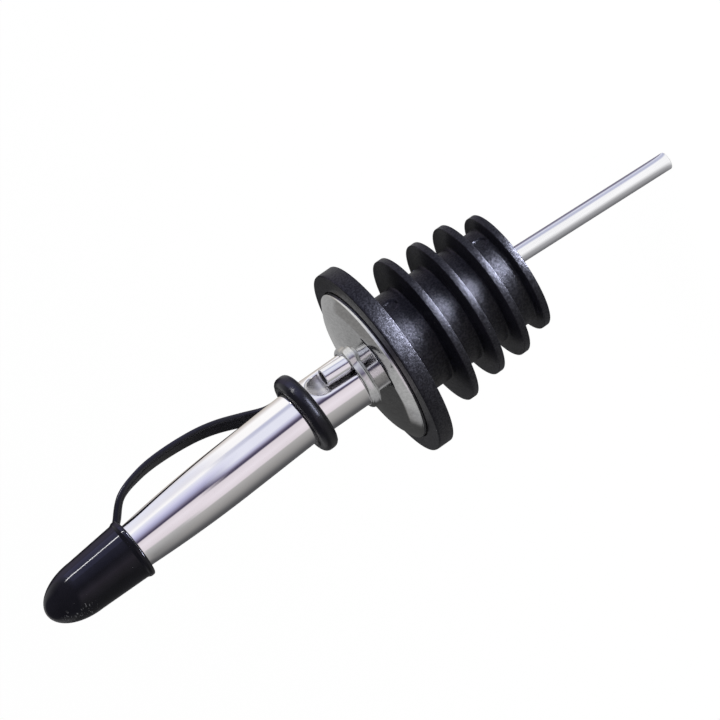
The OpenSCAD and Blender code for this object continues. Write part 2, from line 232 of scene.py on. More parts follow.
def shared_piece(name, bm, material):
    """Makes an object at the origin from a finished mesh, with smooth faces and crisp folds."""
    for face in bm.faces:
        face.smooth = True
    for edge in bm.edges:
        if len(edge.link_faces) == 2:
            edge.smooth = edge.calc_face_angle(0.0) < SHARP_ANGLE
    mesh = bpy.data.meshes.new(name)
    bm.to_mesh(mesh)
    bm.free()
    mesh.materials.append(material)
    piece = bpy.data.objects.new(name, mesh)
    bpy.context.scene.collection.objects.link(piece)
    if not mesh.polygons:
        raise RuntimeError(f"{name} has no faces")
    return piece


def dress(piece, body, node):
    """Lets a piece ride on its body in place of its CAD node."""
    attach(piece, body)
    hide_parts(node)


def tip_turn(spout):
    """Returns the turn from the upright axis to the leaning axis of the tip."""
    bend = Vector((0.0, 0.0, spout.bend_height))
    return (Matrix.Translation(bend) @ Matrix.Rotation(-spout.lean, 4, 'Y')
            @ Matrix.Translation(-bend))


def smooth_step(value, low, high):
    """Returns 0 below low, 1 above high and a smooth rise between."""
    share = np.clip((value - low) / (high - low), 0.0, 1.0)
    return share * share * (3.0 - 2.0 * share)


# Material helpers

def new_material(name):
    """Returns a material with its node tree and shader."""
    material = bpy.data.materials.new(name)
    material.use_nodes = True
    return material, material.node_tree, material.node_tree.nodes["Principled BSDF"]


def connect(tree, value, socket):
    """Links a socket's value to an input, or sets the input to a plain value or colour."""
    if isinstance(value, bpy.types.NodeSocket):
        tree.links.new(value, socket)
    else:
        socket.default_value = (*value, 1.0) if socket.type == 'RGBA' else value


def feed(tree, target, **values):
    """Connects values to a node's inputs, named with underscores for spaces."""
    for key, value in values.items():
        connect(tree, value, target.inputs[key.replace("_", " ")])


def node(tree, kind, **values):
    """Adds a node and sets its properties, or its inputs where it has no such property."""
    added = tree.nodes.new(kind)
    for key, value in values.items():
        if hasattr(added, key):
            setattr(added, key, value)
        else:
            feed(tree, added, **{key: value})
    return added


def show(tree, shader):
    """Makes a shader the one that the surface shows."""
    tree.links.new(shader.outputs[0], tree.nodes["Material Output"].inputs["Surface"])


def surface_place(tree, scale=(1.0, 1.0, 1.0), rotation=(0.0, 0.0, 0.0)):
    """Returns object coordinates, turned and stretched."""
    place = node(tree, "ShaderNodeTexCoord").outputs["Object"]
    mapping = node(tree, "ShaderNodeMapping", Vector=place, Scale=scale, Rotation=rotation)
    return mapping.outputs["Vector"]


def part_of(tree, vector, axis):
    """Returns one coordinate of a vector."""
    return node(tree, "ShaderNodeSeparateXYZ", Vector=vector).outputs[axis]


def noise(tree, place, scale, detail=2.0, roughness=0.5):
    """Returns the height of a noise texture."""
    texture = node(tree, "ShaderNodeTexNoise", Vector=place, Scale=scale, Detail=detail,
                   Roughness=roughness)
    return texture.outputs["Fac"]


def spread(tree, value, low, high, start=0.3, end=0.7):
    """Maps a value onto a range."""
    mapped = node(tree, "ShaderNodeMapRange", Value=value, From_Min=start, From_Max=end,
                  To_Min=low, To_Max=high)
    return mapped.outputs["Result"]


def reckon(tree, operation, *values):
    """Returns the result of a calculation with sockets and plain numbers."""
    step = node(tree, "ShaderNodeMath", operation=operation)
    for value, socket in zip(values, step.inputs):
        connect(tree, value, socket)
    return step.outputs[0]


def blend_colours(tree, share, first, second):
    """Mixes two colours, each a plain one or a socket, by a share."""
    mix = node(tree, "ShaderNodeMix", data_type='RGBA')
    for value, number in zip((share, first, second), COLOUR_MIX_INPUTS):
        connect(tree, value, mix.inputs[number])
    return mix.outputs[COLOUR_MIX_OUTPUT]


def mottled(tree, value, dark, light):
    """Mixes a darker and a lighter colour by a noise value."""
    return blend_colours(tree, spread(tree, value, 0.0, 1.0), dark, light)


def bumps(tree, shader, layers):
    """Stacks bump layers of (height, depth in metres) on a shader."""
    bump = None
    for height, depth in layers:
        below = {"Normal": bump.outputs["Normal"]} if bump else {}
        bump = node(tree, "ShaderNodeBump", Strength=1.0, Distance=depth, Height=height, **below)
    feed(tree, shader, Normal=bump.outputs["Normal"])


def specks(tree, place, spacing, size, share):
    """Returns 1 on small scattered specks and 0 elsewhere."""
    cells = node(tree, "ShaderNodeTexVoronoi", Vector=place, Scale=1.0 / spacing, Randomness=1.0)
    split = node(tree, "ShaderNodeSeparateColor", Color=cells.outputs["Color"])
    near = reckon(tree, 'LESS_THAN', cells.outputs["Distance"], size / spacing)
    chosen = reckon(tree, 'LESS_THAN', split.outputs[0], share)
    return reckon(tree, 'MULTIPLY', near, chosen)


def scaled(colour, factor):
    """Returns a colour made lighter or darker."""
    return tuple(min(1.0, part * factor) for part in colour)


# Finishes

def polished_steel(colour, lean):
    """Bright tube with fine lines along it, slight waves and a duller pressed groove."""
    material, tree, shader = new_material("Polished spout steel")
    along = surface_place(tree, (1.0, 1.0, 0.03), (0.0, lean, 0.0))
    plain = surface_place(tree, (1.0, 1.0, 0.45), (0.0, lean, 0.0))
    lines = noise(tree, along, 7000.0, 3.0)
    waves = noise(tree, plain, 420.0, 2.0)
    smudges = noise(tree, plain, 260.0, 3.0)
    pressed = node(tree, "ShaderNodeAttribute", attribute_name="pressed").outputs["Fac"]
    polish = spread(tree, lines, 0.03, 0.07)
    feed(tree, shader, Metallic=1.0,
         Base_Color=mottled(tree, smudges, scaled(colour, 0.95), colour),
         Roughness=reckon(tree, 'MULTIPLY_ADD', pressed, 0.3, polish))
    bumps(tree, shader, ((waves, 7e-6), (lines, 5e-7)))
    return material


def drawn_steel(colour):
    """Thin drawn tube with fine lines along it, a few dull streaks and painted shade in its bore.
    """
    material, tree, shader = new_material("Drawn vent steel")
    along = surface_place(tree, (1.0, 1.0, 0.02))
    lines = noise(tree, along, 9000.0, 3.0)
    streaks = noise(tree, along, 2500.0, 2.0)
    waves = noise(tree, surface_place(tree), 500.0, 2.0)
    # Painted shade: the bore's faces take the steel colour at a quarter of its brightness, with a
    # duller finish.
    inside = node(tree, "ShaderNodeAttribute", attribute_name="bore").outputs["Fac"]
    steel = mottled(tree, streaks, scaled(colour, 0.93), colour)
    polish = spread(tree, lines, 0.1, 0.18)
    feed(tree, shader, Metallic=1.0,
         Base_Color=blend_colours(tree, inside, steel, scaled(colour, 0.25)),
         Roughness=reckon(tree, 'MULTIPLY_ADD', inside, 0.4, polish))
    bumps(tree, shader, ((waves, 4e-6), (lines, 6e-7)))
    return material


def plate_steel(colour):
    """Pressed plate with a dulled polish, mottled by handling."""
    material, tree, shader = new_material("Pressed plate steel")
    dashes = surface_place(tree, (1.0, 0.35, 1.0), (0.0, 0.0, 0.6))
    mottle = noise(tree, dashes, 2600.0, 4.0, 0.6)
    patches = noise(tree, surface_place(tree), 330.0, 3.0)
    feed(tree, shader, Metallic=1.0, Roughness=spread(tree, patches, 0.06, 0.13),
         Base_Color=mottled(tree, mottle, scaled(colour, 0.78), scaled(colour, 1.04)))
    bumps(tree, shader, ((patches, 5e-6), (mottle, 1.2e-6)))
    return material


def dull_solder():
    """Grey solder with a frosted, slightly lumpy skin."""
    material, tree, shader = new_material("Dull solder")
    plain = surface_place(tree)
    lumps = noise(tree, plain, 1200.0, 3.0)
    frost = noise(tree, plain, 9000.0, 2.0)
    feed(tree, shader, Metallic=1.0, Roughness=spread(tree, frost, 0.38, 0.55),
         Base_Color=mottled(tree, frost, (0.38, 0.38, 0.39), (0.52, 0.52, 0.53)))
    bumps(tree, shader, ((lumps, 3e-5), (frost, 2e-6)))
    return material


def grainy_rubber(colour):
    """Moulded rubber with a fine grain, a little dust, and painted shade on its upper faces through
    a weaker reflection there.
    """
    material, tree, shader = new_material("Grainy cork rubber")
    plain = surface_place(tree)
    grain = noise(tree, plain, 2400.0, 2.0, 0.6)
    patches = noise(tree, plain, 300.0, 3.0)
    dust = specks(tree, plain, 1.7 * MM, 0.06 * MM, 0.35)
    rubber = mottled(tree, patches, scaled(colour, 0.8), scaled(colour, 1.2))
    # Painted shade: faces that point up get half the reflection of the sides.
    facing_up = part_of(tree, node(tree, "ShaderNodeNewGeometry").outputs["Normal"], "Z")
    level = spread(tree, facing_up, 0.2, 0.1, 0.5, 0.95)
    speckle = spread(tree, noise(tree, plain, 3300.0, 1.0), 0.65, 1.5, 0.4, 0.62)
    feed(tree, shader, Base_Color=blend_colours(tree, dust, rubber, (0.32, 0.32, 0.34)),
         Roughness=spread(tree, grain, 0.28, 0.38),
         Specular_IOR_Level=reckon(tree, 'MULTIPLY', level, speckle))
    bumps(tree, shader, ((patches, 2e-5), (grain, 2.6e-5)))
    return material


def dusty_black(tree, colour, plain, smudges):
    """Returns the colour of the soft black moulding, and the mask of its dust."""
    soft = mottled(tree, smudges, scaled(colour, 0.8), scaled(colour, 1.25))
    return soft, specks(tree, plain, 1.5 * MM, 0.05 * MM, 0.3)


def glossy_black(colour):
    """Soft black moulding with a high gloss, dust, and scuffs on one side of its end."""
    material, tree, shader = new_material("Glossy soft black")
    plain = surface_place(tree)
    along = surface_place(tree, (1.0, 1.0, 0.12), (0.3, 0.4, 0.0))
    across = surface_place(tree, (0.15, 1.0, 1.0), (0.2, 0.5, 0.9))
    smudges = noise(tree, plain, 420.0, 3.0)
    grain = noise(tree, plain, 5200.0, 2.0)
    scratches = noise(tree, along, 6500.0, 2.0)
    worn_side = surface_place(tree, rotation=(0.0, 0.0, math.radians(140)))
    worn = reckon(
        tree, 'MULTIPLY',
        spread(tree, part_of(tree, plain, "Z"), 0.0, 1.0, 58.5 * MM, 60.0 * MM),
        spread(tree, part_of(tree, worn_side, "X"), 0.0, 1.0, 4.1 * MM, 4.7 * MM))
    lines = spread(tree, noise(tree, across, 4200.0, 2.0), 0.0, 0.8, 0.62, 0.65)
    marks = reckon(tree, 'MULTIPLY', worn, lines)
    scuffs = reckon(tree, 'MULTIPLY', worn, specks(tree, plain, 0.6 * MM, 0.06 * MM, 0.6))
    soft, dust = dusty_black(tree, colour, plain, smudges)
    soft = blend_colours(tree, marks, soft, scaled(DUST_COLOUR, 0.6))
    soft = blend_colours(tree, scuffs, soft, DUST_COLOUR)
    feed(tree, shader, Base_Color=blend_colours(tree, dust, soft, DUST_COLOUR),
         Roughness=spread(tree, smudges, 0.06, 0.1), Specular_IOR_Level=0.26)
    bumps(tree, shader, ((grain, 1.5e-6), (scratches, 8e-7)))
    return material


def satin_black(colour):
    """The same moulding where it is thin, with a satin, slightly grainy skin."""
    material, tree, shader = new_material("Satin soft black")
    plain = surface_place(tree)
    smudges = noise(tree, plain, 420.0, 3.0)
    grain = noise(tree, plain, 3200.0, 3.0, 0.6)
    soft, dust = dusty_black(tree, colour, plain, smudges)
    feed(tree, shader, Base_Color=blend_colours(tree, dust, soft, DUST_COLOUR),
         Roughness=spread(tree, grain, 0.2, 0.26), Specular_IOR_Level=0.28)
    bumps(tree, shader, ((smudges, 2e-6), (grain, 8e-7)))
    return material


def finish_for(name, make, *values):
    """Returns a finish by name, made once."""
    return bpy.data.materials.get(name) or make(*values)


def soft_black(scene):
    """Returns the finish shared by ring and strap."""
    return finish_for("Satin soft black", satin_black, tuple(scene.pourer_tether.colour))


def vent_finish(scene):
    """Returns the finish shared by the vent and the stem."""
    return finish_for("Drawn vent steel", drawn_steel, tuple(scene.pourer_vent.colour))


def lit_group(name):
    """Returns a group of pieces that some lights reach alone."""
    return bpy.data.collections.get(name) or bpy.data.collections.new(name)


def light_with(piece, *groups):
    """Puts a piece into light groups."""
    for name in (*groups, "Pieces with tents"):
        lit_group(name).objects.link(piece)


def other_pieces():
    """Returns a group that stands for all pieces without a tent of their own."""
    group = lit_group("Pieces with tents")
    for entry in group.collection_objects:
        entry.light_linking.link_state = 'EXCLUDE'
    return group


# Shapes

def spout_radius(spout, height):
    """Returns the spout's outer radius at a height along its axis."""
    taper_z = spout.bend_height + spout.straight
    nose_z = taper_z + spout.taper
    tip_z = nose_z + spout.nose
    full, nose, tip = spout.diameter / 2, spout.nose_diameter / 2, spout.tip_diameter / 2
    curved = full - (full - nose) * ((height - taper_z) / spout.taper) ** 2
    straight = nose + (tip - nose) * (height - nose_z) / (tip_z - nose_z)
    return np.where(height < taper_z, full, np.where(height < nose_z, curved, straight))


def tip_height(spout):
    """Returns the height of the spout's tip along its axis."""
    return spout.bend_height + spout.straight + spout.taper + spout.nose


def plate_drop(collar):
    """Returns the thickness of the sloping plate, measured upright."""
    return 1.05 * collar.sheet


def plate_height(collar, r):
    """Returns the height of the collar plate's upper face at a radius."""
    rim = collar.diameter / 2
    crease = rim - collar.band
    if r > crease:
        rise = collar.crease_height - collar.rim_height
        return collar.rim_height + rise * (rim - r) / collar.band
    rise = collar.top_height - collar.crease_height
    return collar.crease_height + rise * (crease - r) / (crease - PLATE_NECK)


def groove_floor(spout, vent, z, y):
    """Returns how far out the pressed groove's floor lies at a height and a side offset."""
    r, top, ramp = spout.groove_radius, spout.groove_top, spout.groove_ramp
    axis = vent.offset + spout.groove_shift + min(z, top) * math.tan(vent.tilt)
    half = np.sqrt(np.maximum(r * r - y * y, 0.0))
    rise = z - top
    if rise <= 0.0:
        return np.where(np.abs(y) < r, axis - half, np.inf)
    ramped = axis + (rise * math.sin(ramp) - half) / math.cos(ramp)
    on_ramp = (ramped - axis) * math.sin(ramp) + rise * math.cos(ramp) >= 0.0
    ball = axis - np.sqrt(np.maximum(r * r - y * y - rise * rise, 0.0))
    return np.where(np.abs(y) < r, np.where(on_ramp, ramped, ball), np.inf)


def pressed_outline(spout, vent, radius, z, first, last, count):
    """Returns evenly spaced points of the spout's outline across the groove."""
    y = np.linspace(radius * math.sin(first), radius * math.sin(last), 1601)
    x = np.minimum(np.sqrt(radius * radius - y * y), groove_floor(spout, vent, z, y))
    steps = np.concatenate(([0.0], np.cumsum(np.hypot(np.diff(x), np.diff(y)))))
    fine = np.linspace(0.0, steps[-1], 801)
    x, y = np.interp(fine, steps, x), np.interp(fine, steps, y)
    width = spout.fold / (fine[1] - fine[0])
    reach_steps = int(3 * width)
    weights = np.exp(-0.5 * (np.arange(-reach_steps, reach_steps + 1) / width) ** 2)
    weights /= weights.sum()
    padded_x = np.pad(x, reach_steps, mode="reflect", reflect_type="odd")
    padded_y = np.pad(y, reach_steps, mode="reflect", reflect_type="odd")
    x = np.convolve(padded_x, weights, mode="valid")
    y = np.convolve(padded_y, weights, mode="valid")
    places, steps = np.linspace(0, len(fine) - 1, count), np.arange(len(fine))
    return np.interp(places, steps, x), np.interp(places, steps, y)


class POURER_OT_spout(Operator):
    """Makes the tapered spout with its pressed groove and its bend"""
    bl_idname = "pourer.spout"
    bl_label = "Spout"

    def execute(self, context):
        spout, vent = context.scene.pourer_spout, context.scene.pourer_vent
        tip_z = tip_height(spout)
        foot_step, groove_step, tip_step = 0.75 * MM, 0.16 * MM, 0.8 * MM
        levels = np.concatenate((
            np.arange(-spout.foot_depth, GROOVE_LOW, foot_step),
            np.arange(GROOVE_LOW, GROOVE_HIGH, groove_step),
            np.arange(GROOVE_HIGH, tip_z, tip_step), [tip_z]))
        outline = [(float(spout_radius(spout, z)), float(z), 0.0) for z in levels]
        bm = turned(outline, segments=240, closed=False)
        self.press_groove(bm, spout, vent)
        self.cut_tip(bm, spout, tip_z)
        bmesh.ops.recalc_face_normals(bm, faces=bm.faces)
        bmesh.ops.solidify(bm, geom=bm.faces[:], thickness=spout.wall)
        self.bend(bm, spout)
        piece = shared_piece("spout", bm, polished_steel(tuple(spout.colour), spout.lean))
        dress(piece, "pourer", "spout_tube")
        return {'FINISHED'}

    def press_groove(self, bm, spout, vent):
        """Presses the groove into the rows of vertices that it crosses."""
        reach = math.radians(46.0)
        middle = vent.azimuth + spout.groove_turn
        back = Matrix.Rotation(middle, 4, 'Z')
        pressed = bm.verts.layers.float.new("pressed")
        rows = {}
        for v in bm.verts:
            turn = math.remainder(math.atan2(v.co.y, v.co.x) - middle, math.tau)
            if abs(turn) < reach + 1e-6 and v.co.z < GROOVE_HIGH - 0.1 * MM:
                rows.setdefault(round(v.co.z * 1e7), []).append((turn, v))
        for row in rows.values():
            row.sort(key=lambda item: item[0])
            z = row[0][1].co.z
            radius = math.hypot(row[0][1].co.x, row[0][1].co.y)
            xs, ys = pressed_outline(spout, vent, radius, z, row[0][0], row[-1][0], len(row))
            for (_, v), x, y in zip(row, xs, ys):
                v.co = back @ Vector((float(x), float(y), z))
                v[pressed] = float(smooth_step(radius - math.hypot(x, y), 0.1 * MM, 0.6 * MM))

    def cut_tip(self, bm, spout, tip_z):
        """Cuts the tip on a slant."""
        point = Vector((spout.tip_diameter / 2, 0.0, tip_z))
        slope = math.tan(spout.tip_slant)
        bmesh.ops.bisect_plane(bm, geom=bm.verts[:] + bm.edges[:] + bm.faces[:], dist=1e-8,
                               plane_co=point, plane_no=Vector((-slope, 0.0, 1.0)).normalized(),
                               clear_outer=True)

    def bend(self, bm, spout):
        """Leans the upper spout over through a short smooth bend."""
        turn, half = tip_turn(spout), 1.0 * MM
        for v in bm.verts:
            share = smooth_step(v.co.z, spout.bend_height - half, spout.bend_height + half)
            v.co = v.co.lerp(turn @ v.co, float(share))


class POURER_OT_vent(Operator):
    """Makes the vent tube with its stub and gives the solder its finish"""
    bl_idname = "pourer.vent"
    bl_label = "Vent tube"

    def execute(self, context):
        vent = context.scene.pourer_vent
        outer = vent.diameter / 2
        inner = outer - vent.wall
        edge = 0.09 * MM
        bm = turned([(inner, -vent.below, edge), (outer, -vent.below, edge),
                     (outer, vent.above, edge), (inner, vent.above, edge)], segments=64)
        # Marks the bore's faces, which the vent's finish paints in shade.
        bore = bm.faces.layers.float.new("bore")
        for face in bm.faces:
            middle = face.calc_center_median()
            face[bore] = 1.0 if math.hypot(middle.x, middle.y) < inner + SLIP else 0.0
        bm.transform(Matrix.Rotation(vent.azimuth, 4, 'Z')
                     @ Matrix.Translation((vent.offset, 0.0, 0.0))
                     @ Matrix.Rotation(vent.tilt, 4, 'Y'))
        piece = shared_piece("vent", bm, vent_finish(context.scene))
        dress(piece, "pourer", "vent_tube")
        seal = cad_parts["vent_seal"]
        seal.data.materials.clear()
        seal.data.materials.append(dull_solder())
        return {'FINISHED'}


class POURER_OT_collar(Operator):
    """Makes the conical collar plate with its bevelled rim and its lip round spout and vent"""
    bl_idname = "pourer.collar"
    bl_label = "Collar plate"

    def execute(self, context):
        collar, spout = context.scene.pourer_collar, context.scene.pourer_spout
        rim = collar.diameter / 2
        crease = rim - collar.band
        drop = plate_drop(collar)
        neck = spout.diameter / 2 + SLIP
        outer_neck = neck + 0.5 * MM
        neck_foot = -1.0 * MM

        def over(r):
            return plate_height(collar, r)

        lip_foot, lip_out, lip_top = neck + 0.9 * MM, neck + 0.78 * MM, over(neck) + 0.98 * MM
        inside = rim - collar.sheet
        foot = collar.rim_height - collar.skirt
        bm = turned([(neck, neck_foot, 0.1 * MM), (outer_neck, neck_foot, 0.1 * MM),
                     (outer_neck, over(outer_neck) - drop, 0.25 * MM),
                     (inside, over(inside) - drop, 0.2 * MM),
                     (inside, foot, 0.12 * MM), (rim, foot, 0.12 * MM),
                     (rim, collar.rim_height, 0.16 * MM), (crease, over(crease), 0.25 * MM),
                     (lip_foot, over(lip_foot), 0.3 * MM), (lip_out, lip_top, 0.55 * MM),
                     (neck, lip_top, 0.1 * MM)], segments=256)
        self.widen_for_vent(bm, context.scene.pourer_vent, neck, over)
        piece = shared_piece("collar", bm, plate_steel(tuple(collar.colour)))
        dress(piece, "pourer", "collar_plate")
        light_with(piece, "Plate pieces")
        return {'FINISHED'}

    def widen_for_vent(self, bm, vent, neck, over):
        """Bulges the neck and its lip outwards round the vent."""
        hole = vent.diameter / 2 + SLIP
        widest, step, blur = 60.0, 0.5, 2.5
        turns = np.radians(np.arange(-widest, widest + step, step))
        soft = np.exp(-0.5 * (np.arange(-16, 17) * step / blur) ** 2)
        soft /= soft.sum()
        for v in bm.verts:
            r = math.hypot(v.co.x, v.co.y)
            if r > NECK_REACH:
                continue
            away = vent.offset + v.co.z * math.tan(vent.tilt)
            room = np.maximum(hole ** 2 - (away * np.sin(turns)) ** 2, 0.0)
            edge = np.where(room > 0.0, away * np.cos(turns) + np.sqrt(room), 0.0)
            bulge = np.convolve(np.maximum(edge - neck, 0.0), soft, mode="same") * 1.06
            turn = math.remainder(math.atan2(v.co.y, v.co.x) - vent.azimuth, math.tau)
            shift = float(np.interp(turn, turns, bulge))
            near_cone = 1.0 - float(smooth_step(v.co.z - over(r), 0.0, 0.9 * MM))
            lower = (over(r) - over(r + shift)) * near_cone
            v.co = Vector((v.co.x * (1.0 + shift / r), v.co.y * (1.0 + shift / r), v.co.z - lower))


class POURER_OT_stem(Operator):
    """Makes the flared stem inside the cork"""
    bl_idname = "pourer.stem"
    bl_label = "Stem tube"

    def execute(self, context):
        stem, cork = context.scene.pourer_stem, context.scene.pourer_cork
        inner, outer, flare = stem.bore / 2, stem.diameter / 2, stem.flare_diameter / 2
        bottom = -cork.fin_depths[3]
        seat, top = bottom + stem.flare_height, stem.top_height
        bm = turned([(inner, top, 0.08 * MM), (inner, bottom, 0.4 * MM), (flare, bottom, 0.2 * MM),
                     (flare, seat, 0.15 * MM), (outer, seat, 0.05 * MM), (outer, top, 0.08 * MM)],
                    segments=128)
        piece = shared_piece("stem", bm, vent_finish(context.scene))
        dress(piece, "pourer", "stem_tube")
        return {'FINISHED'}


class POURER_OT_cork(Operator):
    """Makes the finned rubber cork with its flange and moulding marks"""
    bl_idname = "pourer.cork"
    bl_label = "Cork"

    def execute(self, context):
        scene = context.scene
        cork = scene.pourer_cork
        outline = self.outline(cork, scene.pourer_collar, scene.pourer_stem)
        bm = turned(outline, segments=288)
        self.press_marks(bm, cork)
        bmesh.ops.recalc_face_normals(bm, faces=bm.faces)
        piece = shared_piece("cork", bm, grainy_rubber(tuple(cork.colour)))
        dress(piece, "pourer", "cork_stopper")
        light_with(piece, "Rubber pieces", "Black pieces")
        return {'FINISHED'}

    def outline(self, cork, collar, stem):
        """Returns the corners of the cork's section, round from the bore's top."""
        drop = plate_drop(collar) + SEAT_GAP
        bore, pocket = stem.diameter / 2 + SEAT_GAP, stem.flare_diameter / 2 + SEAT_GAP
        hub, flange = cork.hub_diameter / 2, cork.flange_diameter / 2
        channel_in, channel_out, channel_z = 12.6 * MM, 13.3 * MM, 2.3 * MM

        def seat(r):
            return plate_height(collar, r) - drop

        corners = [(bore, seat(bore), 0.1 * MM), (channel_in, seat(channel_in), 0.1 * MM),
                   (channel_in, channel_z, 0.0), (channel_out, channel_z, 0.0),
                   (channel_out, 2.85 * MM, 0.12 * MM),
                   (flange - cork.flange_round, cork.flange_height, 0.3 * MM),
                   (flange, cork.flange_height, cork.flange_round), (flange, 0.0, 0.12 * MM)]
        last = 0.0
        for diameter, depth in zip(cork.fin_diameters, cork.fin_depths):
            lower, upper = -depth, -depth + cork.fin_edge
            root = upper + cork.fin_swell
            rows = np.linspace(last - cork.fillet, root + cork.fillet, HUB_ROWS)[1:-1]
            corners.append((hub, last, cork.fillet))
            corners += [(hub, float(z), 0.0) for z in rows]
            corners += [(hub, root, cork.fillet), (diameter / 2, upper, cork.fin_round),
                        (diameter / 2, lower, cork.fin_round)]
            last = lower - cork.fin_swell
        bottom = -cork.fin_depths[3]
        pocket_top = bottom + stem.flare_height + SEAT_GAP
        return corners + [(pocket, bottom, 0.1 * MM), (pocket, pocket_top, 0.0),
                          (bore, pocket_top, 0.0)]

    def press_marks(self, bm, cork):
        """Presses the two round moulding marks into the body."""
        hub, half = cork.hub_diameter / 2, cork.mark_diameter / 2
        for height in MARK_HEIGHTS:
            for v in bm.verts:
                if abs(math.hypot(v.co.x, v.co.y) - hub) > SLIP:
                    continue
                turn = math.atan2(v.co.y, v.co.x) - cork.mark_azimuth
                away = math.hypot(hub * turn, v.co.z - height)
                edge = float(smooth_step(away, half - 0.18 * MM, half + 0.02 * MM))
                depth = cork.mark_depth * (1.0 - edge)
                v.co.x *= 1.0 - depth / hub
                v.co.y *= 1.0 - depth / hub


class POURER_OT_ring(Operator):
    """Makes the soft ring on the spout"""
    bl_idname = "pourer.ring"
    bl_label = "Ring"

    def execute(self, context):
        tether, spout = context.scene.pourer_tether, context.scene.pourer_spout
        inner = spout.diameter / 2 + tether.ring_gap
        outer = inner + tether.ring_wall
        middle = spout.bend_height + tether.ring_shift
        low, high = middle - tether.ring_height / 2, middle + tether.ring_height / 2
        bm = turned([(inner, low, 0.8 * MM), (outer, low, tether.ring_round),
                     (outer, high, tether.ring_round), (inner, high, 0.8 * MM)], segments=192)
        bm.transform(tip_turn(spout))
        piece = shared_piece("ring", bm, soft_black(context.scene))
        dress(piece, "tether", "tether_ring")
        light_with(piece, "Ring pieces", "Soft pieces", "Black pieces")
        return {'FINISHED'}


# Points of the strap's middle, as height and distance in millimetres and azimuth in degrees
STRAP_ROUTE = (
    (16.4, 5.75, 78.0), (17.55, 6.1, 78.0), (20.18, 6.67, 77.0), (23.6, 7.85, 69.0),
    (27.55, 8.84, 60.0), (31.56, 9.39, 54.0), (36.93, 9.41, 47.0), (41.45, 8.9, 41.0),
    (45.8, 7.52, 34.0), (48.7, 4.95, 34.0), (49.5, 4.2, 34.0))


class POURER_OT_strap(Operator):
    """Makes the thin strap between ring and cap"""
    bl_idname = "pourer.strap"
    bl_label = "Strap"

    def execute(self, context):
        tether, spout = context.scene.pourer_tether, context.scene.pourer_spout
        turn, section = tip_turn(spout), self.section(tether, 4)
        rings = [[turn @ (at + side * a + out * b) for a, b in section]
                 for at, side, out in self.frames(self.smooth_route(8))]
        bm = bmesh.new()
        order = [bm.verts.new(at) for at in rings[0]]
        edges = [bm.edges.new(pair) for pair in zip(order, order[1:] + order[:1])]
        bm.faces.new(order)
        for ring in rings[1:]:
            grown = bmesh.ops.extrude_edge_only(bm, edges=edges)["geom"]
            fresh = {part for part in grown if isinstance(part, bmesh.types.BMVert)}
            order = [next(e.other_vert(v) for e in v.link_edges if e.other_vert(v) in fresh)
                     for v in order]
            for v, at in zip(order, ring):
                v.co = at
            edges = [bm.edges.get(pair) for pair in zip(order, order[1:] + order[:1])]
        bm.faces.new(order)
        clean(bm)
        piece = shared_piece("strap", bm, soft_black(context.scene))
        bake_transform(piece)
        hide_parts("cap_strap")
        light_with(piece, "Soft pieces", "Black pieces")
        return {'FINISHED'}

    def smooth_route(self, steps):
        """Returns a smooth curve through the strap's route, in metres on the upright axis."""
        points = []
        for height, distance, azimuth in STRAP_ROUTE:
            a = math.radians(azimuth)
            points.append(Vector((distance * math.cos(a), distance * math.sin(a), height)) * MM)
        padded = [points[0] * 2 - points[1]] + points + [points[-1] * 2 - points[-2]]
        curve = []
        for a, b, c, d in zip(padded, padded[1:], padded[2:], padded[3:]):
            for step in range(steps):
                t = step / steps
                curve.append(0.5 * (2 * b + (c - a) * t + (2 * a - 5 * b + 4 * c - d) * t * t
                                    + (3 * b - a - 3 * c + d) * t * t * t))
        return curve + [points[-1]]

    def frames(self, route):
        """Returns each point with its directions across and out of the strap."""
        places = []
        for i, at in enumerate(route):
            along = (route[min(i + 1, len(route) - 1)] - route[max(i - 1, 0)]).normalized()
            radial = Vector((at.x, at.y, 0.0)).normalized()
            side = along.cross(radial).normalized()
            places.append((at, side, side.cross(along).normalized()))
        return places

    def section(self, tether, steps):
        """Returns the strap's rounded section, as offsets across and out."""
        half_w, half_t = tether.strap_width / 2, tether.strap_thickness / 2
        r = 0.42 * MM
        points = []
        for cx, cy, start in ((1, 1, 0), (-1, 1, 90), (-1, -1, 180), (1, -1, 270)):
            for step in range(steps + 1):
                a = math.radians(start + 90 * step / steps)
                points.append((cx * (half_w - r) + r * math.cos(a),
                               cy * (half_t - r) + r * math.sin(a)))
        return points


class POURER_OT_cap(Operator):
    """Makes the domed dust cap with its flared lip"""
    bl_idname = "pourer.cap"
    bl_label = "Dust cap"

    def execute(self, context):
        cap, spout = context.scene.pourer_cap, context.scene.pourer_spout
        mouth, lip = cap.mouth_height, cap.lip_diameter / 2
        tip_z = tip_height(spout)
        mouth_r = float(spout_radius(spout, mouth)) + cap.wall_gap
        seat_r = spout.tip_diameter / 2 + cap.wall_gap
        body, end = cap.diameter / 2, cap.end_diameter / 2
        dome_z = cap.end_height - cap.dome
        hollow = tip_z + 1.8 * MM
        outline = [(0.0, hollow, 0.0), (seat_r / 2, hollow, 0.5 * MM),
                   (seat_r, tip_z + 0.9 * MM, 0.4 * MM), (mouth_r, mouth, 0.1 * MM),
                   (lip, mouth, 0.35 * MM), (lip, mouth + 0.75 * cap.lip_height, 0.2 * MM),
                   (body + SLIP, mouth + 1.1 * cap.lip_height, 0.25 * MM)]
        for step in range(25):
            turn = math.radians(90 * step / 24)
            outline.append((end * math.cos(turn), dome_z + cap.dome * math.sin(turn), 0.0))
        bm = turned(outline, segments=192, closed=False)
        bm.transform(tip_turn(spout))
        colour = tuple(context.scene.pourer_tether.colour)
        finish = finish_for("Glossy soft black", glossy_black, colour)
        piece = shared_piece("cap", bm, finish)
        dress(piece, "cap", "dust_cap")
        light_with(piece, "Cap pieces", "Soft pieces", "Black pieces")
        return {'FINISHED'}


# Studio

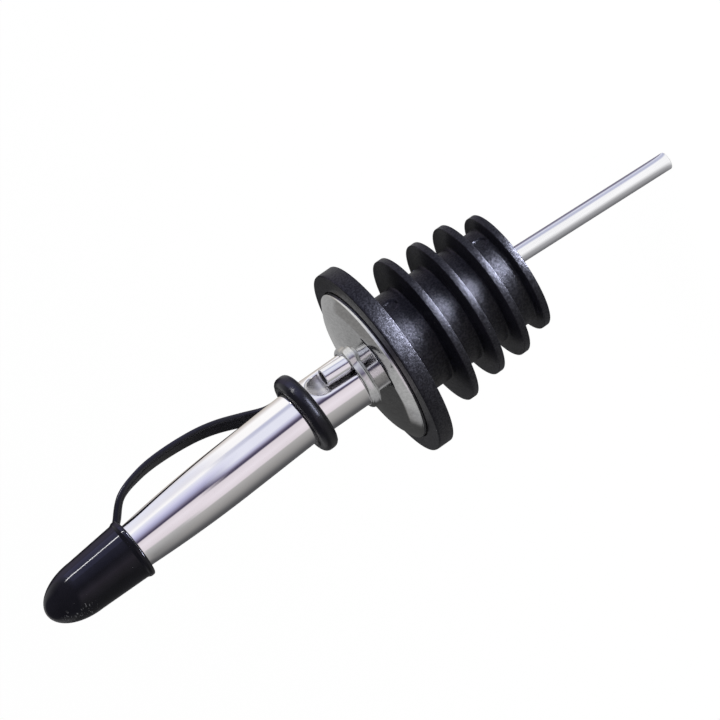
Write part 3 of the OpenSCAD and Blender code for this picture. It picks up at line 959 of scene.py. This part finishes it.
CAMERA_PLACE = (0.186728, -0.507588, 0.115403)
CAMERA_TURN = (
    (-0.4817, 0.8098, 0.3350), (-0.3508, 0.1722, -0.9206), (-0.8032, -0.5609, 0.2011))
CAMERA_LENS = 180.83
FLOOR_Z = -54.1 * MM
FACING = math.atan2(CAMERA_TURN[1][2], CAMERA_TURN[0][2])


def seen_directly(tree):
    """Returns 1 for camera, glossy and transmission rays and 0 for the rest."""
    path = node(tree, "ShaderNodeLightPath")
    near = reckon(tree, 'MAXIMUM', path.outputs["Is Camera Ray"], path.outputs["Is Glossy Ray"])
    return reckon(tree, 'MAXIMUM', near, path.outputs["Is Transmission Ray"])


def tone_ramp(tree, place, tones):
    """Returns colours that change round the object, from sides given in degrees of the surface."""
    sweep = node(tree, "ShaderNodeTexGradient", gradient_type='RADIAL', Vector=place)
    ramp = node(tree, "ShaderNodeValToRGB", Fac=sweep.outputs["Color"])
    stops = ramp.color_ramp.elements
    while len(stops) > 1:
        stops.remove(stops[-1])
    for number, (side, colour) in enumerate(tones):
        share = 0.5 + side / 180.0
        stop = stops[0] if number == 0 else stops.new(share)
        stop.position = share
        stop.color = (*colour, 1.0)
    return ramp.outputs["Color"]


def glow_material(name):
    """Returns a material that only glows, with its tree and its emission node."""
    material, tree, shader = new_material(name)
    tree.nodes.remove(shader)
    glow = node(tree, "ShaderNodeEmission")
    show(tree, glow)
    return material, tree, glow


def floor_cards(name, inner, outer, tones):
    """Makes a flat ring of cards on the floor that only polished surfaces mirror."""
    height = FLOOR_Z + 0.2 * MM
    bm = turned([(inner, height, 0.0), (outer, height, 0.0)], segments=96, closed=False)
    material, tree, glow = glow_material(name)
    place = surface_place(tree, rotation=(0.0, 0.0, -FACING))
    feed(tree, glow, Color=tone_ramp(tree, place, tones))
    piece = shared_piece(name, bm, material)
    glossy_only(piece)
    return piece


def card_tent(name, radius, tiers, group=None):
    """Makes a tent of cards, mirrored by one group of pieces or else by those without a tent."""
    bm = bmesh.new()
    bmesh.ops.create_uvsphere(bm, u_segments=64, v_segments=32, radius=radius)
    material, tree, glow = glow_material(name)
    place = surface_place(tree, rotation=(0.0, 0.0, -FACING))
    height = part_of(tree, place, "Z")
    tones = None
    for low, high, cards in tiers:
        tier = tone_ramp(tree, place, cards)
        if tones:
            start, end = (radius * math.sin(math.radians(part)) for part in (low, high))
            tier = blend_colours(tree, spread(tree, height, 0.0, 1.0, start, end), tones, tier)
        tones = tier
    feed(tree, glow, Color=tones)
    if group:
        see_through(tree, glow)
    piece = shared_piece(name, bm, material)
    glossy_only(piece)
    piece.light_linking.receiver_collection = lit_group(group) if group else other_pieces()
    return piece


def see_through(tree, glow):
    """Lets rays pass a glowing surface, so that a larger tent shows behind it."""
    both = node(tree, "ShaderNodeAddShader")
    for shader, socket in zip((glow, node(tree, "ShaderNodeBsdfTransparent")), both.inputs):
        connect(tree, shader.outputs[0], socket)
    show(tree, both)


def glossy_only(piece):
    """Lets a card show in reflections alone."""
    for ray in ("camera", "diffuse", "shadow", "transmission", "volume_scatter"):
        setattr(piece, f"visible_{ray}", False)


def lamp(name, place, target, size, power, colour=(1.0, 1.0, 1.0)):
    """Adds a soft rectangular light that faces a target."""
    data = bpy.data.lights.new(name, 'AREA')
    data.shape = 'RECTANGLE'
    data.size, data.size_y = size
    data.energy = power
    data.color = colour
    light = bpy.data.objects.new(name, data)
    light.location = place
    light.rotation_euler = (Vector(target) - Vector(place)).to_track_quat('-Z', 'Y').to_euler()
    light.visible_camera = False
    bpy.context.scene.collection.objects.link(light)
    return light


def around(azimuth, elevation, distance, height):
    """Returns a place at an azimuth from the camera's side, an elevation and a distance."""
    a, e = FACING + math.radians(azimuth), math.radians(elevation)
    away = Vector((math.cos(a) * math.cos(e), math.sin(a) * math.cos(e), math.sin(e)))
    return away * distance + Vector((0.0, 0.0, height))


# Tones of the cards
SHADE, ASH, GREY = (0.09, 0.09, 0.095), (0.15, 0.15, 0.155), (0.32, 0.315, 0.31)
STONE, MID, CROWN = (0.47, 0.465, 0.46), (0.45, 0.45, 0.46), (0.55, 0.55, 0.56)
LOW, DUSK, DIM = (0.13, 0.13, 0.135), (0.06, 0.06, 0.065), (0.075, 0.075, 0.075)
SLATE, ZINC, IRON = (0.24, 0.24, 0.24), (0.5, 0.5, 0.5), (0.4, 0.4, 0.4)
COAL, CHAR, NIGHT = (0.2, 0.2, 0.2), (0.2, 0.2, 0.21), (0.03, 0.03, 0.03)
PALE, SMOKE, FOG = (0.6, 0.6, 0.6), (0.4, 0.39, 0.4), (0.12, 0.12, 0.15)
WHITE, PEARL, GLOW = (1.1, 1.1, 1.1), (0.88, 0.88, 0.95), (0.9, 0.9, 1.0)
BLUSH, ROSE, SAND = (0.8, 0.74, 0.79), (0.9, 0.84, 0.9), (0.78, 0.74, 0.73)
BEIGE, TAN, MIST = (0.66, 0.62, 0.58), (0.45, 0.4, 0.36), (0.7, 0.68, 0.72)
PLUM, DEEP, MAUVE = (0.2, 0.18, 0.27), (0.07, 0.06, 0.11), (0.5, 0.48, 0.62)
LILAC, BLUE_GREY, IRIS = (0.86, 0.88, 1.0), (0.58, 0.6, 0.76), (0.55, 0.55, 0.74)
VIOLET, HEATHER, NAVY = (0.42, 0.42, 0.62), (0.68, 0.68, 0.9), (0.25, 0.26, 0.45)
THISTLE, STORM, DENIM = (0.5, 0.48, 0.52), (0.42, 0.42, 0.5), (0.46, 0.47, 0.66)
COBALT, ORCHID, FIG = (0.46, 0.47, 0.7), (0.56, 0.53, 0.64), (0.48, 0.44, 0.5)
WISTERIA, PRUNE, RAISIN = (0.72, 0.62, 0.8), (0.3, 0.28, 0.36), (0.3, 0.26, 0.34)
CORNFLOWER, AZURE, AMETHYST = (0.44, 0.46, 0.75), (0.6, 0.62, 0.95), (0.6, 0.54, 0.8)

# Cards on the tents, as sides in degrees of the mirroring surface with their tones
SPOUT_CARDS = (
    (-90, SHADE), (-66, SHADE), (-58, ASH), (-46, GREY), (-29, STONE), (-26.5, BLUSH), (-16, ROSE),
    (-4, BLUSH), (-2, DEEP), (0.5, DEEP), (3, PLUM), (7, IRIS), (12, LILAC), (26, LILAC),
    (31, BLUE_GREY), (35, BLUE_GREY), (39, WHITE), (57, WHITE), (66, SAND), (73, BEIGE), (84, TAN),
    (90, MID))
TAPER_CARDS = (
    (-90, LOW), (-62, LOW), (-46, SLATE), (-25, ZINC), (-21, BLUSH), (-8, ROSE), (1, BLUSH),
    (3, DEEP), (5, DEEP), (8, PLUM), (13, VIOLET), (20, HEATHER), (28, LILAC), (32, WHITE),
    (40, PEARL), (56, LILAC), (68, MIST), (74, SMOKE), (82, GREY), (90, MID))
SKY_CARDS = (
    (-90, LOW), (-82, LOW), (-78, CROWN), (-60, MID), (-44, DUSK), (40, DUSK), (52, MID), (90, MID))
HIGH_CARDS = (
    (-90, CROWN), (-70, CROWN), (-62, LOW), (-46, GREY), (-28, STONE), (-24, ROSE), (-8, ROSE),
    (-4, DEEP), (2, DEEP), (10, LILAC), (28, LILAC), (32, DEEP), (36, DEEP), (40, WHITE),
    (56, WHITE), (62, GREY), (70, CROWN), (90, CROWN))
CROWN_CARDS = ((-90, CROWN), (90, CROWN))
PLATE_CARDS = (
    (-90, DIM), (-66, DIM), (-56, MID), (-36, PALE), (-24, ROSE), (-8, BLUSH), (-1, PLUM),
    (5, MAUVE), (14, LILAC), (30, WHITE), (56, WHITE), (66, BEIGE), (75, ZINC), (90, IRON))
PLATE_MID_CARDS = (
    (-90, DIM), (-84, DIM), (-79.5, GREY), (-74, MID), (-36, PALE), (-24, ROSE), (-8, BLUSH),
    (-1, PLUM), (14, LILAC), (30, WHITE), (56, WHITE), (66, BEIGE), (71, GREY), (79, GREY),
    (83, IRON), (90, IRON))
PLATE_HIGH_CARDS = (
    (-90, MID), (-74, PALE), (-30, PALE), (0, CROWN), (25, LILAC), (40, WHITE), (56, WHITE),
    (66, MID), (72, GREY), (77, GREY), (82, MID), (90, MID))
GLOW_CARDS = ((-90, GLOW), (90, GLOW))
RUBBER_CARDS = (
    (-90, LOW), (-78, LOW), (-62, GREY), (-48, MID), (-30, THISTLE), (0, STORM), (20, DENIM),
    (40, COBALT), (56, ORCHID), (72, MID), (90, GREY))
CAP_CARDS = (
    (-90, LOW), (-70, LOW), (-36, COAL), (-22, FIG), (-12, WISTERIA), (-3, PRUNE), (3, FOG),
    (12, NAVY), (22, CORNFLOWER), (40, AZURE), (56, AMETHYST), (66, RAISIN), (74, NIGHT),
    (90, NIGHT))
BACK_CARDS = ((-90, MID), (-60, MID), (-40, FOG), (40, FOG), (60, CROWN), (90, CROWN))
FOG_CARDS = ((-90, FOG), (90, FOG))
VENT_CARDS = (
    (-90, LOW), (-60, CHAR), (-30, MID), (-9, WHITE), (20, WHITE), (29, BLUE_GREY),
    (37, BLUE_GREY), (47, LILAC), (57, PLUM), (64, PLUM), (85, GREY))

# Tiers of cards, from the lowest up, with the elevations between which each takes over
TUBE_TIERS = (
    (-90.0, -90.0, SPOUT_CARDS), (-4.0, -0.5, TAPER_CARDS), (9.0, 14.0, SKY_CARDS),
    (34.0, 40.0, HIGH_CARDS), (58.0, 66.0, CROWN_CARDS))
PLATE_TIERS = (
    (-90.0, -90.0, PLATE_CARDS), (25.0, 32.0, PLATE_MID_CARDS), (40.0, 48.0, PLATE_HIGH_CARDS))
BLACK_TIERS = (
    (-90.0, -90.0, GLOW_CARDS), (-48.0, -36.0, RUBBER_CARDS), (-9.0, -5.0, CAP_CARDS),
    (15.0, 22.0, BACK_CARDS), (40.0, 50.0, FOG_CARDS))

# Lights, as name, place round the object, size, power setting, colour and group of pieces
COOL, BLUE, PLAIN = (0.72, 0.75, 1.0), (0.45, 0.45, 1.0), (1.0, 1.0, 1.0)
LAMPS = (
    ("Key light", (15, -45, 0.45, 0.0), (0.3, 0.3), "key_power", COOL, "Rubber pieces"),
    ("Sheen light", (14, -14, 0.45, 0.0), (0.2, 0.2), "sheen_power", COOL, "Rubber pieces"),
    ("Ring light", (4, -30, 0.45, 0.02), (0.4, 0.22), "ring_power", COOL, "Ring pieces"),
    ("Lip light", (10, -50, 0.4, 0.05), (0.8, 0.2), "lip_power", COOL, "Cap pieces"),
    ("Strip light", (72, 0, 0.25, 0.068), (0.012, 0.125), "strip_power", PLAIN, "Soft pieces"),
    ("Side light", (74, -6, 0.4, 0.035), (0.42, 0.3), "side_power", BLUE, "Soft pieces"))


class POURER_OT_stage(Operator):
    """Sets up the floor, the lights, the cards and the camera"""
    bl_idname = "pourer.stage"
    bl_label = "Studio"

    def execute(self, context):
        studio = context.scene.pourer_studio
        context.scene.view_settings.view_transform = 'Standard'
        self.camera(context.scene)
        self.world(context.scene, studio)
        self.floor(studio)
        card_tent("plate_tent", 1.0, PLATE_TIERS, "Plate pieces")
        card_tent("black_tent", 1.1, BLACK_TIERS, "Black pieces")
        card_tent("tube_tent", 1.2, TUBE_TIERS)
        floor_cards("floor_cards", 1.5 * MM, 150 * MM, VENT_CARDS)
        self.lights(studio)
        return {'FINISHED'}

    def lights(self, studio):
        """Hangs the lights, each for its own group of pieces, and a soft one overhead."""
        for name, spot, size, setting, colour, group in LAMPS:
            place = around(*spot)
            target = (0.0, 0.0, place.z * 0.4)
            light = lamp(name, place, target, size, getattr(studio, setting), colour)
            light.light_linking.receiver_collection = lit_group(group)
            light.visible_diffuse = group == "Soft pieces"
            if group == "Rubber pieces":
                light.data.cycles.use_multiple_importance_sampling = False
        overhead = around(20, 50, 0.7, 0.0)
        top = lamp("Top light", overhead, (0.0, 0.0, 0.0), (0.5, 0.5), studio.top_power)
        top.visible_glossy = False

    def camera(self, scene):
        """Places the camera."""
        data = bpy.data.cameras.new("Camera")
        data.lens = CAMERA_LENS
        data.sensor_width = 36.0
        view = bpy.data.objects.new("Camera", data)
        view.matrix_world = Matrix.Translation(CAMERA_PLACE) @ Matrix(CAMERA_TURN).to_4x4()
        scene.collection.objects.link(view)
        scene.camera = view

    def world(self, scene, studio):
        """Lights the scene evenly from all round, and shows white where it is seen."""
        world = bpy.data.worlds.new("Studio")
        world.use_nodes = True
        scene.world = world
        tree = world.node_tree
        level = spread(tree, seen_directly(tree), studio.fill, 1.0, 0.0, 1.0)
        feed(tree, tree.nodes["Background"], Color=(1.0, 1.0, 1.0), Strength=level)

    def floor(self, studio):
        """Lays the pale floor, which shows white and keeps a shadow."""
        bm = bmesh.new()
        bmesh.ops.create_grid(bm, x_segments=8, y_segments=8, size=4.0,
                              matrix=Matrix.Translation((0.0, 0.0, FLOOR_Z)))
        material, tree, shader = new_material("Pale floor")
        feed(tree, shader, Base_Color=studio.floor_colour, Roughness=0.9, Specular_IOR_Level=0.0)
        glow = node(tree, "ShaderNodeEmission", Strength=1.06)
        share = reckon(tree, 'MULTIPLY', seen_directly(tree), 0.92)
        mix = node(tree, "ShaderNodeMixShader")
        for value, socket in zip((share, shader.outputs[0], glow.outputs[0]), mix.inputs):
            connect(tree, value, socket)
        show(tree, mix)
        floor = shared_piece("floor", bm, material)
        floor.visible_shadow = False
        floor.visible_glossy = False


# Panel and registration

SETTINGS = (("pourer_spout", SpoutSettings), ("pourer_vent", VentSettings),
            ("pourer_collar", CollarSettings), ("pourer_stem", StemSettings),
            ("pourer_cork", CorkSettings), ("pourer_tether", TetherSettings),
            ("pourer_cap", CapSettings), ("pourer_studio", StudioSettings))
OPERATORS = (POURER_OT_spout, POURER_OT_vent, POURER_OT_collar, POURER_OT_stem,
             POURER_OT_cork, POURER_OT_ring, POURER_OT_strap, POURER_OT_cap, POURER_OT_stage)


class POURER_PT_panel(Panel):
    """Lists the pourer's settings and makers"""
    bl_idname = "POURER_PT_panel"
    bl_label = "Bottle Pourer"
    bl_space_type = 'VIEW_3D'
    bl_region_type = 'UI'
    bl_category = "Pourer"

    def draw(self, context):
        for name, settings in SETTINGS:
            box = self.layout.box()
            group = getattr(context.scene, name)
            for key in settings.__annotations__:
                box.prop(group, key)
        for operator in OPERATORS:
            self.layout.operator(operator.bl_idname)


def register():
    """Registers the settings, the operators and the panel."""
    for name, settings in SETTINGS:
        bpy.utils.register_class(settings)
        setattr(bpy.types.Scene, name, PointerProperty(type=settings))
    for operator in OPERATORS:
        bpy.utils.register_class(operator)
    bpy.utils.register_class(POURER_PT_panel)


def unregister():
    """Takes the panel, the operators and the settings out again."""
    bpy.utils.unregister_class(POURER_PT_panel)
    for operator in reversed(OPERATORS):
        bpy.utils.unregister_class(operator)
    for name, settings in reversed(SETTINGS):
        delattr(bpy.types.Scene, name)
        bpy.utils.unregister_class(settings)


def main():
    """Builds the pourer and its studio."""
    register()
    bpy.ops.pourer.spout()
    bpy.ops.pourer.vent()
    bpy.ops.pourer.collar()
    bpy.ops.pourer.stem()
    bpy.ops.pourer.cork()
    bpy.ops.pourer.ring()
    bpy.ops.pourer.strap()
    bpy.ops.pourer.cap()
    bpy.ops.pourer.stage()


if __name__ == "__main__":
    main()
